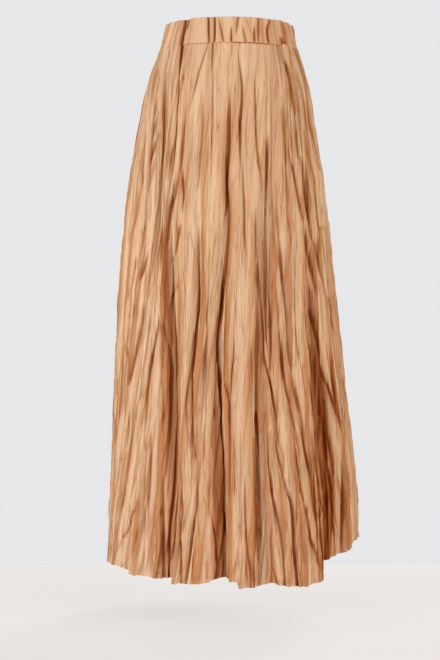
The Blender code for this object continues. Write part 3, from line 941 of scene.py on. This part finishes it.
def even_columns(first, last, count, levels):
    """Pleat numbers for the columns, spaced so that the columns lie about evenly on the cloth."""
    fine = np.linspace(first, last, int(last - first) * PLEAT_SAMPLE + 1)
    grid = np.array(levels)[:, None] * np.ones_like(fine)
    run = along_rows(folded_form(fine, grid)).mean(axis=0)
    return np.interp(np.linspace(0, run[-1], count), run, fine)


def saw(turns):
    """A wave that rises slowly and falls at once, as one pleat laps over the next."""
    return 2 * (turns % 1.0) - 1


def hem_line(pleats):
    """The drop of the hem at each column."""
    at_hem = angle_grid(pleats, np.full((1, len(pleats)), HEM[:, 1].max()))[0]
    uneven = sum(weight * saw(pleats * often) for often, weight in HEM_WAVES)
    return np.interp(at_hem, HEM[:, 0], HEM[:, 1]) + HEM_UNEVEN * uneven


def valley_share(form, angles, drops):
    """The share of painted shade: 0 near the oval outline, most at the bottom of the deepest folds."""
    depth = np.linalg.norm(form - outline(angles, drops)[0], axis=-1)
    return np.clip((depth - VALLEY_START) / (VALLEY_FULL - VALLEY_START), 0, VALLEY_MOST)


def past_seams(pleats):
    """The columns with a few more on each side, so that both panels take the same turn at a seam."""
    steps = np.arange(1, SEAM_MARGIN + 1)
    before = pleats[0] - steps[::-1] * (pleats[1] - pleats[0])
    after = pleats[-1] + steps * (pleats[-1] - pleats[-2])
    return np.concatenate([before, pleats, after])


def make_panel(name, first, last, creases, side):
    """A panel between two folds, given by their numbers, as a sheet of this name."""
    pleats = past_seams(even_columns(first, last, PANEL_COLUMNS, SPACING_LEVELS))
    hem = hem_line(pleats)
    share = np.linspace(0, 1, PANEL_ROWS + 1)[1:, None]
    seam_rows = np.array(SEAM_ROWS)[:, None] * np.ones_like(pleats)
    hem_rows = hem - np.array(HEM_ROWS)[:, None]
    drops = np.concatenate([seam_rows, share * hem_rows[0], hem_rows[1:]])
    form = folded_form(pleats, drops)
    angles = angle_grid(pleats, drops)
    relief, roll = crinkled(form, pleats, drops, strength_at(angles, drops))
    pressed, crease_shade, shaded = crease_relief(creases, form, drops, along_rows(form), side)
    relief += pressed
    seam = around_skirt(angles[0], SEAM_ANGLES, SEAM_SHARES)
    tuck = TUCK_LEAST + (1 - TUCK_LEAST) * seam
    relief -= (TUCK_DEPTH * tuck) * np.clip(-drops / TUCK_REACH, 0, 1)
    relief -= HEM_GROOVE * np.clip(1 - np.abs(hem - drops - HEM_TURN) / HEM_GROOVE_REACH, 0, 1)
    # A line of painted shade along the waist seam, where the panel pulls in under the band.
    crease_shade = np.maximum(crease_shade, SEAM_DARK * seam * np.clip(1 - np.abs(drops) / SEAM_LINE, 0, 1))
    shaded = np.maximum(shaded, broad_shade(form, drops, along_rows(form), side))
    # The valley attribute: painted shade of deep folds, wide valleys and the sides of creases.
    valley = np.maximum(valley_share(form, angles, drops), shaded)
    kept = (slice(None, None, -1), slice(SEAM_MARGIN, -SEAM_MARGIN))
    return lay_sheet(name, displaced(form, relief, roll)[kept], crease_shade[kept], valley[kept])


front = make_panel(
    "front_panel", FOLD_NAMES.index("side_left"), FOLD_NAMES.index("side_right"), CREASES, FRONT_SIDE
)
back = make_panel("back_panel", FOLD_NAMES.index("side_right"), RING, moved(CREASES), BACK_SIDE)

# %% [markdown]
# The waistband is a strip folded over an elastic: it goes up the outside, over the top edge and
# down the inside. In front it is almost flat with a few sharp pinches, listed one by one, and a
# seam that pulls in under it. Round the sides and the back the gathers of the skirt run on up to
# its top edge.

# %% Waistband
BAND_COLUMNS_PER_METRE = 900
BAND_OUTER_ROWS = 26
BAND_TOP_ROWS = 7
BAND_INNER_ROWS = 10
BAND_THICKNESS = 0.0024
BAND_RISE = 0.0004
BAND_PROUD = 0.0009
BAND_SAMPLES = 200
BAND_SPACING_LEVELS = (-0.04, -0.01)
SEAM_PULL = 0.0017
SEAM_REACH = 0.0028
SEAM_LIFT = 0.0003
LAP = 0.40
OVER = 0.10
LAP_REACH = 0.45
LAP_DEPTH = 0.0018
# Columns: points, half width, depth, side.
BAND_CREASES = (
    (((-7.6, -6.9), (-8.25, -2.6), (-8.95, 1.8)), 2.6, 8, 0),
    (((-7, -4.6), (-7.4, -3.6), (-7.8, -2.6)), 3, 2, 0),
    (((-3.7, -7.2), (-3.6, -2), (-3.5, 1.4)), 2.2, 5.5, 0),
    (((-2.5, -5.8), (-2.5, -2), (-2.6, 1.6)), 2.2, 6, 0),
    (((-1.7, -3.8), (-1.2, -1.6), (-0.8, 0.6)), 2.6, 4, 0),
    (((0.5, -2.2), (0.5, -0.8), (0.5, 0.8)), 2.5, 5, 0),
    (((1.9, -5.2), (1.6, -3.6), (1.4, -2)), 3, 4, 0),
    (((2.6, -2.6), (2.9, -1), (3.3, 0.5)), 2.5, 3.5, 0),
    (((3.1, -4.5), (3.7, -3), (4.3, -1.8)), 4, 3, 0),
    (((4.7, -2.6), (4.7, -1), (4.7, 0.6)), 2.5, 5, 0),
    (((5.4, -5.2), (5.4, -2.6), (5.4, -0.2)), 3, 5, 0),
    (((6, -4.4), (6.2, -2), (6.4, 0.3)), 3, 2.5, 0),
    (((7.9, -5), (7.2, -3.2), (7.4, 0.8)), 3, 6, 0),
    (((9.7, -4.4), (10, -2.4), (10.2, -1)), 3.5, 6, 0),
    (((9.5, -1.4), (9.7, -0.4), (9.9, 0.6)), 3, 5, 0),
)
FLAT_ANGLES = (-45, -40, -8, 20, 48, 56)
FLAT_SHARES = (1.0, 0.06, 0.06, 0.18, 0.18, 1.0)


def band_profile():
    """Rows of the strip: each one's share of the height, and its place between the layers."""
    outer = [(t, 0.0) for t in np.linspace(0, 1, BAND_OUTER_ROWS)]
    turn = np.linspace(0, np.pi, BAND_TOP_ROWS + 2)[1:-1]
    over = [(1 + math.sin(a), (1 - math.cos(a)) / 2) for a in turn]
    inner = [(t, 1.0) for t in np.linspace(1, 0, BAND_INNER_ROWS)]
    return outer + over + inner


def make_waistband(name, first, last, ends_under):
    """A strip between two pleat numbers; the ends named are pressed in, under the other strip."""
    samples = np.linspace(first, last, BAND_SAMPLES)
    length = along_rows(folded_form(samples, np.zeros((1, BAND_SAMPLES))))[0, -1]
    pleats = even_columns(first, last, int(length * BAND_COLUMNS_PER_METRE), BAND_SPACING_LEVELS)
    angles = angle_grid(pleats, np.zeros((1, len(pleats))))[0]
    height = BAND_HEIGHT + BAND_RISE * np.cos(np.radians(angles))
    radius = BAND_THICKNESS / 2
    profile = band_profile()
    share = np.array([min(t, 1.0) for t, _ in profile])[:, None]
    over = np.array([max(t - 1.0, 0.0) for t, _ in profile])[:, None] * radius
    layer = np.array([place for _, place in profile])[:, None]
    drops = -share * height
    form = folded_form(pleats, drops)
    flat = around_skirt(angles, FLAT_ANGLES, FLAT_SHARES)
    relief, roll = crinkled(form, pleats, drops, side_strength(angles) * flat * np.ones_like(drops))
    pressed, crease_shade, shaded = crease_relief(BAND_CREASES, form, drops, along_rows(form))
    relief += pressed
    seam = around_skirt(angles, SEAM_ANGLES, SEAM_SHARES)[None, :]
    for end in ends_under:
        relief -= LAP_DEPTH * np.clip(1 - np.abs(pleats - end) / LAP_REACH, 0, 1)[None, :]
    relief += BAND_PROUD * seam
    relief -= seam * SEAM_PULL * np.clip(1 + drops / SEAM_REACH, 0, 1) ** 2
    # A line of painted shade along the seam at the band's lower edge.
    crease_shade = np.maximum(crease_shade, SEAM_DARK * seam * np.clip(1 + drops / SEAM_LINE, 0, 1))
    _, out, along = outline(angle_grid(pleats, drops), drops)
    outward = relief - layer * BAND_THICKNESS
    points = form + out * outward[..., None] + along * roll[..., None]
    points[..., 2] += over + SEAM_LIFT
    return lay_sheet(name, points, crease_shade, shaded)


left_end, right_end = (FOLD_NAMES.index(name) for name in ("deep_left", "outer_right"))
under = (left_end - LAP, right_end + LAP)
band_front = make_waistband("front_waistband", *under, ends_under=under)
band_back = make_waistband("back_waistband", right_end - OVER, RING + left_end + OVER, ends_under=())

# %% [markdown]
# The fine crinkle between the modelled pleats is too small for the mesh. It is drawn by the
# material as long narrow facets, from a cell pattern that is stretched along the cloth. These
# helpers make such patterns on the flat map, and read a colour from a ramp.

# %% Patterns on the cloth
# Columns: name, width, length, bump distance, width of the line, colour of the line's painted shade.
FACETS = (
    ("creases", 0.013, 0.180, 0.0010, 0.0011, (0.60, 0.42, 0.28, 1.0)),
    ("lines", 0.0055, 0.070, 0.0005, 0.0007, (0.80, 0.68, 0.56, 1.0)),
)
VECTOR = "ShaderNodeVectorMath"


def stretched(tree, place, width, length):
    """The flat map measured in cells of this width and length."""
    scale = (1 / width, 1 / length, 1.0)
    return node_of(tree, "ShaderNodeMapping", Vector=place, Scale=scale).outputs["Vector"]


def noise(tree, place, detail, scale=1.0):
    """The outputs of a noise over this place."""
    return node_of(tree, "ShaderNodeTexNoise", Vector=place, Scale=scale, Detail=detail).outputs


def cells(tree, place, feature="F1"):
    """A flat cell pattern's distance: to the middle of the cell, or to its edge."""
    kind = "ShaderNodeTexVoronoi"
    node = node_of(tree, kind, voronoi_dimensions="2D", feature=feature, Vector=place, Scale=1.0)
    return node.outputs["Distance"]


def ramped(tree, value, stops):
    """The colour of a ramp at this value; its stops are rows of position and colour."""
    node = node_of(tree, "ShaderNodeValToRGB", Fac=value)
    for _ in stops[2:]:
        node.color_ramp.elements.new(1.0)
    for element, (position, colour) in zip(node.color_ramp.elements, stops):
        element.position = position
        element.color = colour
    return node.outputs["Color"]


def attribute(tree, name):
    """The value of one of the sheet's attributes."""
    return node_of(tree, "ShaderNodeAttribute", attribute_name=name).outputs["Fac"]


print("sizes of facet:", [row[0] for row in FACETS])

# %% [markdown]
# The cloth is a light plain weave of one tan, slightly streaky along the threads as real cloth
# is. Over that tan the colour carries painted shade and painted light: the "fold" attribute picks
# a darker, warmer tan deep in the small folds and a paler one on the ridges, and the "valley" and
# "crease" attributes multiply it with a painted shade that turns warmer as it darkens. In patches,
# a thin darker line of painted shade is drawn where two facets of the crinkle meet.

# %% Colour of the cloth
# Painted shade deep in the folds, the cloth's own tan, and painted light on the ridges.
CLOTH_FOLD_SHADE = (0.430, 0.205, 0.088, 1.0)
CLOTH_BASE = (0.610, 0.440, 0.296, 1.0)
CLOTH_RIDGE_LIGHT = (0.630, 0.490, 0.360, 1.0)
TANS_WITH_FOLD_SHADE = ((0.15, CLOTH_FOLD_SHADE), (0.50, CLOTH_BASE), (0.90, CLOTH_RIDGE_LIGHT))
# Painted shade that the valley and crease attributes multiply in, warmer as it darkens.
SHADES = (
    (0.0, (1.0, 1.0, 1.0, 1.0)),
    (0.4, (0.66, 0.42, 0.25, 1.0)),
    (1.0, (0.32, 0.095, 0.034, 1.0)),
)
VALLEY_DARK = 0.80
CREASE_DARK = 0.88
CLOUD_SCALE = 9.0
TONE_SWING = 0.13
TONE_LEAST = 0.87
PATCH_CELL = (0.02, 0.16)
PATCH_RANGE = (0.42, 0.62)


def cloth_colour(tree, place, streaks, bent, crinkle_share):
    """Tan and streaks, with painted shade in folds, creases and facet lines, and painted light on
    ridges.
    """
    clouds = noise(tree, place, 2.0, CLOUD_SCALE)["Fac"]
    both = maths(tree, "ADD", streaks, clouds)
    tone = maths(tree, "MULTIPLY_ADD", both, TONE_SWING, TONE_LEAST)
    # The tan by the fold attribute: painted shade in the folds, painted light on the ridges.
    tan = ramped(tree, attribute(tree, "fold"), TANS_WITH_FOLD_SHADE)
    colour = node_of(tree, VECTOR, operation="SCALE", Vector=tan, Scale=tone).outputs["Vector"]
    for name, amount in (("valley", VALLEY_DARK), ("crease", CREASE_DARK)):
        shade = ramped(tree, maths(tree, "MULTIPLY", attribute(tree, name), amount), SHADES)
        colour = maths(tree, "MULTIPLY", colour, shade, kind=VECTOR)
    patches = node_of(
        tree,
        "ShaderNodeMapRange",
        Value=noise(tree, stretched(tree, place, *PATCH_CELL), 2.0)["Fac"],
        From_Min=PATCH_RANGE[0],
        From_Max=PATCH_RANGE[1],
    )
    # A thin line of painted shade where two facets of the crinkle meet, in patches.
    for name, width, _, _, line, shade in FACETS:
        edge = cells(tree, bent[name], "DISTANCE_TO_EDGE")
        near = node_of(tree, "ShaderNodeMapRange", Value=edge, From_Min=line / width, From_Max=0.0)
        shown = maths(tree, "MULTIPLY", near.outputs["Result"], patches.outputs["Result"])
        share = maths(tree, "MULTIPLY", shown, crinkle_share)
        lined = node_of(tree, "ShaderNodeMix", data_type="RGBA", blend_type="MULTIPLY")
        for socket, value in (("Factor", share), ("A", colour), ("B", shade)):
            feed(tree, value, lined.inputs[socket])
        colour = lined.outputs["Result"]
    return colour


print("tans from fold to ridge:", len(TANS_WITH_FOLD_SHADE))

# %% [markdown]
# Bump makes the facets catch the light as real crinkle does, and a fine weave lies over them.
# A bump node takes the normal of the one before it, so the sizes add up.

# %% Bump of the cloth
FACET_STRENGTH = 0.9
# At a scale of 1, one band of the wave node is this wide.
WAVE_BAND = 0.314
THREAD = 0.0006
THREAD_UNEVEN = 0.6
WEAVE_STRENGTH = 0.25
WEAVE_DEPTH = 0.0002


def cloth_bump(tree, place, bent, crinkle_share):
    """The cloth's bump: facets of two sizes, and the weave over them."""
    under = {}
    for name, _, _, distance, _, _ in FACETS:
        facets = {"Strength": FACET_STRENGTH, "Distance": distance * crinkle_share, **under}
        middle = cells(tree, bent[name])
        bump = node_of(tree, "ShaderNodeBump", invert=True, Height=middle, **facets)
        under = {"Normal": bump.outputs["Normal"]}
    waves = [
        node_of(
            tree,
            "ShaderNodeTexWave",
            bands_direction=direction,
            Vector=place,
            Scale=WAVE_BAND / THREAD,
            Distortion=THREAD_UNEVEN,
        ).outputs["Fac"]
        for direction in "XY"
    ]
    threads = maths(tree, "ADD", *waves)
    weave = {"Strength": WEAVE_STRENGTH, "Distance": WEAVE_DEPTH, **under}
    return node_of(tree, "ShaderNodeBump", Height=threads, **weave).outputs["Normal"]


print("thread pitch:", THREAD, "m")

# %% [markdown]
# The surface is soft and dry: rough, with a little warm sheen and almost no shine. Each sheet has
# a material of its own, because each has its own flat size, and the facets, which would look
# like ruled lines if they were straight, are bent by a slow noise. The waistband is pulled flat
# in front, so the fine crinkle is weaker there.

# %% Cloth material
STREAK_CELL = (0.003, 0.12)
BEND_CELL = (0.05, 0.22)
BEND = (1.4, 0.8, 0.0)
CLOTH_ROUGHNESS = 0.80
ROUGHNESS_SWING = 0.16
SHEEN = 0.02
SHEEN_ROUGHNESS = 0.45
SHEEN_COLOUR = (1.0, 0.70, 0.42, 1.0)
SPECULAR = 0.03


def cloth_material(name, flat_size, crinkle_share):
    """The cloth of a sheet whose UV map covers this flat size, in metres."""
    material, tree, shader = principled(name, CLOTH_BASE, CLOTH_ROUGHNESS)
    uv = node_of(tree, "ShaderNodeUVMap").outputs["UV"]
    metres = node_of(tree, "ShaderNodeMapping", Vector=uv, Scale=(*flat_size, 1.0))
    place = metres.outputs["Vector"]
    streaks = noise(tree, stretched(tree, place, *STREAK_CELL), 3.0)["Fac"]
    bend = noise(tree, stretched(tree, place, *BEND_CELL), 1.0)["Color"]
    bent = {
        size: maths(
            tree, "MULTIPLY_ADD", bend, BEND, stretched(tree, place, width, length), kind=VECTOR
        )
        for size, width, length, *_ in FACETS
    }
    least = CLOTH_ROUGHNESS - ROUGHNESS_SWING / 2
    for socket, value in (
        ("Base Color", cloth_colour(tree, place, streaks, bent, crinkle_share)),
        ("Roughness", maths(tree, "MULTIPLY_ADD", streaks, ROUGHNESS_SWING, least)),
        ("Normal", cloth_bump(tree, place, bent, crinkle_share)),
        ("Sheen Weight", SHEEN),
        ("Sheen Tint", SHEEN_COLOUR),
        ("Sheen Roughness", SHEEN_ROUGHNESS),
        ("Specular IOR Level", SPECULAR),
    ):
        feed(tree, value, shader.inputs[socket])
    return material


PANEL_FLAT = (1.40, 0.97)
FRONT_BAND_FLAT = (0.24, 0.09)
BACK_BAND_FLAT = (0.75, 0.09)
# Columns: sheet, material's name, flat size, strength of the fine crinkle.
CLOTHS = (
    (front, "crinkle_cloth_front", PANEL_FLAT, 1.0),
    (back, "crinkle_cloth_back", PANEL_FLAT, 1.0),
    (band_front, "waist_casing_front", FRONT_BAND_FLAT, 0.25),
    (band_back, "waist_casing_back", BACK_BAND_FLAT, 0.7),
)
for piece, name, flat, crinkle_share in CLOTHS:
    piece.data.materials.append(cloth_material(name, flat, crinkle_share))
print("materials:", [row[1] for row in CLOTHS])

# %% [markdown]
# Each cloth is hung from the root where the plain solid of the frame stood, and that solid is
# hidden. The table lists how large each was cut. A panel's cut is measured on the crinkled cloth
# laid flat. The same cloth is 1.40 m wide before it is crinkled, which is the width that its flat
# map and its weave go by.

# %% Join the frame
PANEL_CRINKLED = (0.98, 0.97)
# Columns: sheet, node, slot, flat size, area, the node beside it.
PIECES = (
    (front, "skirt_front", "cloth", PANEL_CRINKLED, 0.95, "waistband_front"),
    (back, "skirt_back", "cloth", PANEL_CRINKLED, 0.95, "waistband_back"),
    (band_front, "waistband_front", "waistband", FRONT_BAND_FLAT, 0.0216, "waistband_back"),
    (band_back, "waistband_back", "waistband", BACK_BAND_FLAT, 0.0675, "waistband_front"),
)
for piece, node, slot, flat, area, beside in PIECES:
    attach(piece, "root")
    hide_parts(node)
